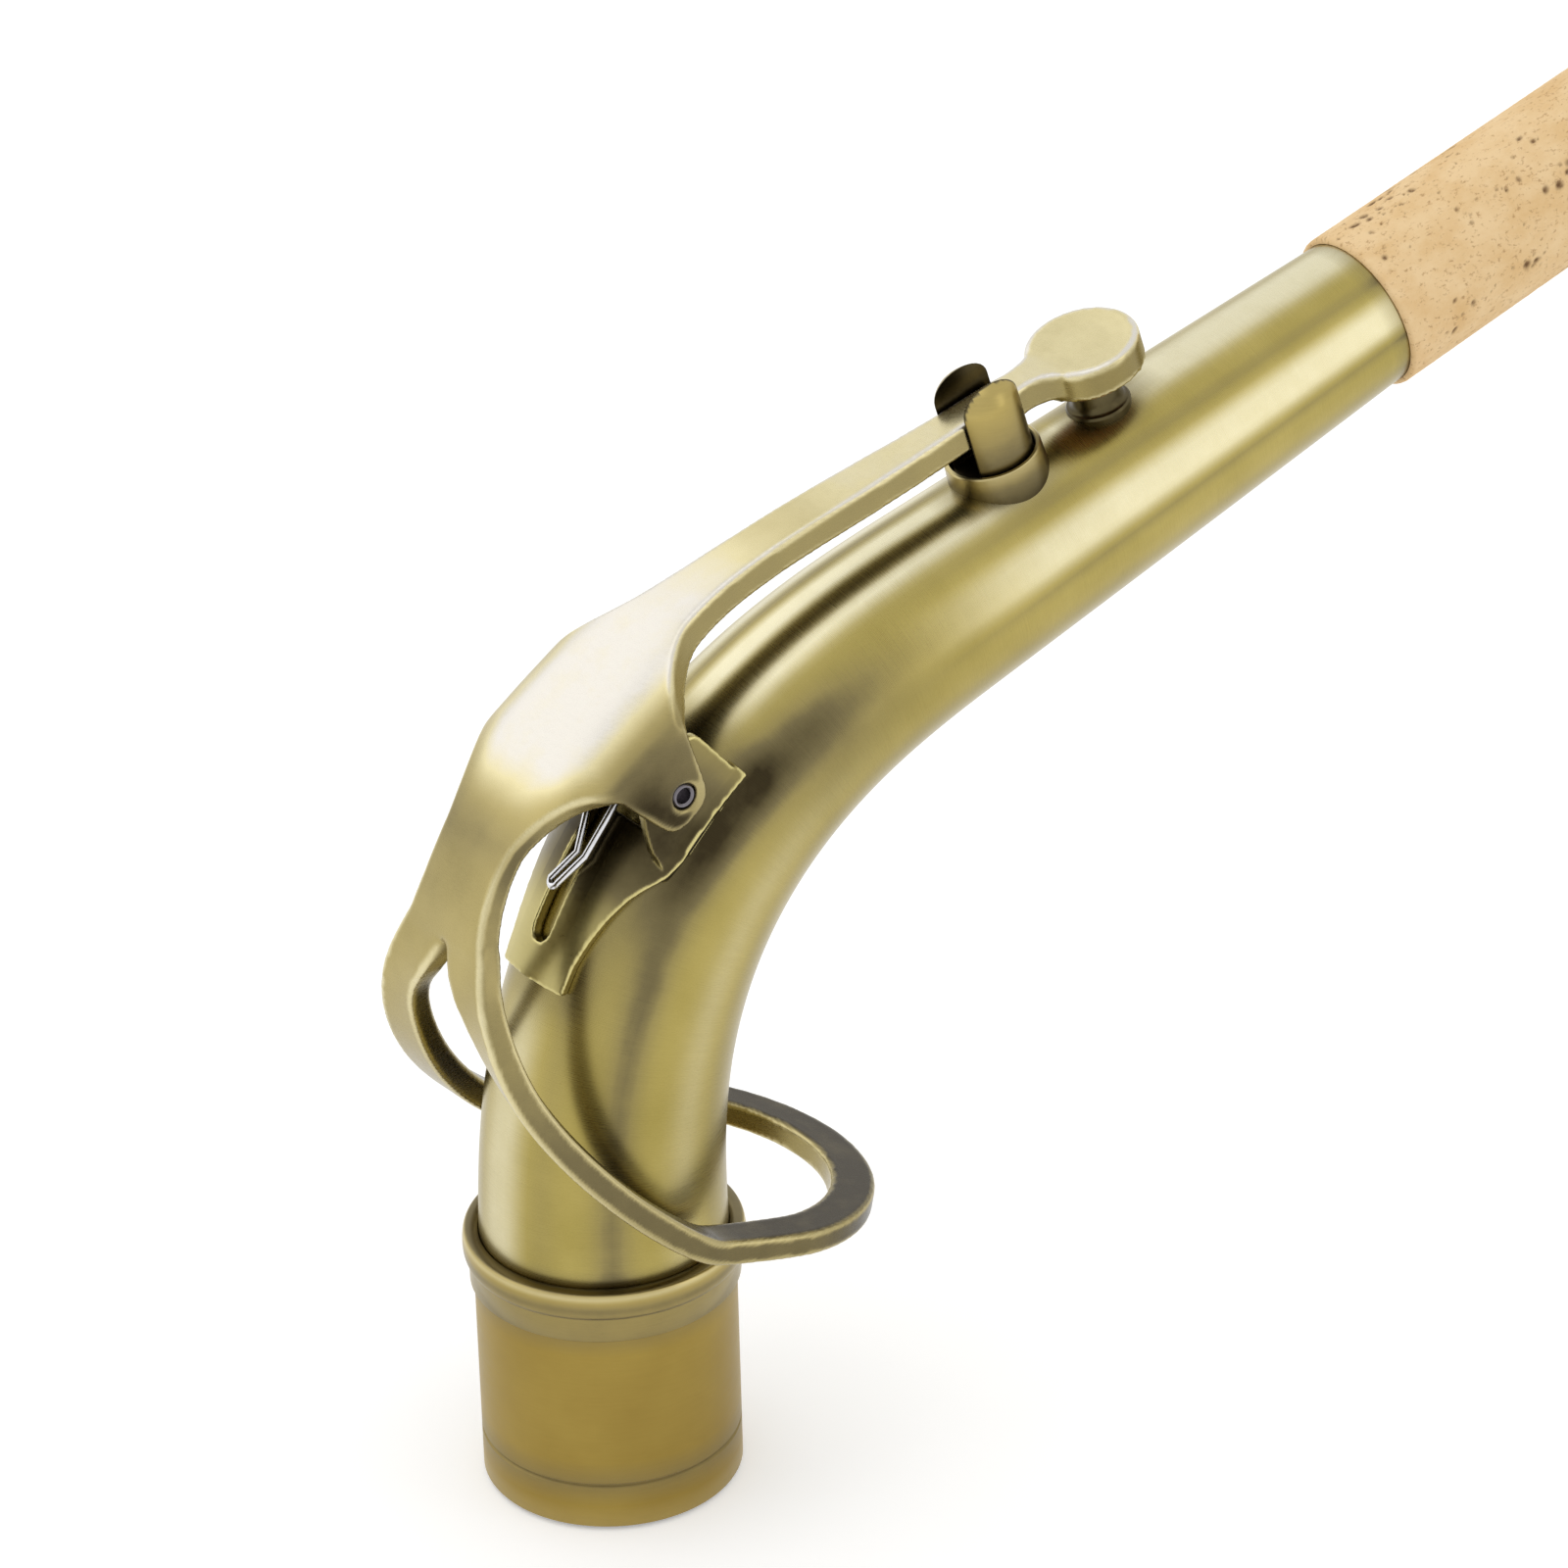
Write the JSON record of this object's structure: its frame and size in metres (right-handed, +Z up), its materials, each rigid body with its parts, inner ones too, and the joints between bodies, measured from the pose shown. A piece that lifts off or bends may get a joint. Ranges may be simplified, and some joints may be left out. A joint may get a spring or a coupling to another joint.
{
  "type": "saxophone neck",
  "caption": "Bent conical alto saxophone neck with tenon, stop collar, corked mouth end and a sprung octave key with ring, pad, saddle and guide on its crown.",
  "frame": {"origin": "centre of the stop collar's lower shoulder, on the tenon's axis, where the neck sits on the saxophone body", "axes": "+Z up along the tenon's axis, +X the way the tube bends towards the mouthpiece, the plane y = 0 is the bend's plane"},
  "size_m": [0.1666, 0.0364, 0.1176],
  "materials": {
    "brushed_brass": "brushed antique brass, lightly lacquered",
    "plain_brass": "smooth drawn brass, satin",
    "cork": "sanded natural cork with dark pits",
    "pad_cork": "cut cork pad",
    "spring_steel": "bright drawn wire",
    "rod_steel": "dulled turned steel"
  },
  "bodies": {
    "neck": {"neck_tube": "brushed_brass", "tenon_sleeve": "plain_brass", "stop_collar": "plain_brass", "mouthpiece_cork": "cork", "tip_ring": "brushed_brass", "key_saddle": "brushed_brass", "octave_pip": "brushed_brass", "guide_base_ring": "brushed_brass", "guide_fork": "brushed_brass", "pivot_rod": "rod_steel", "octave_spring": "spring_steel"},
    "octave_key": {"octave_key": "brushed_brass", "key_pad": "pad_cork"}
  },
  "joints": [
    {"name": "octave_key_hinge", "type": "hinge", "parent": "neck", "child": "octave_key", "pos_m": [0.00413, 0, 0.05266], "axis": [0, -1, 0], "range_deg": [0, 3], "stiffness_Nm_per_rad": 0.05, "springref_deg": -22.92, "deforming": ["octave_spring"]}
  ]
}
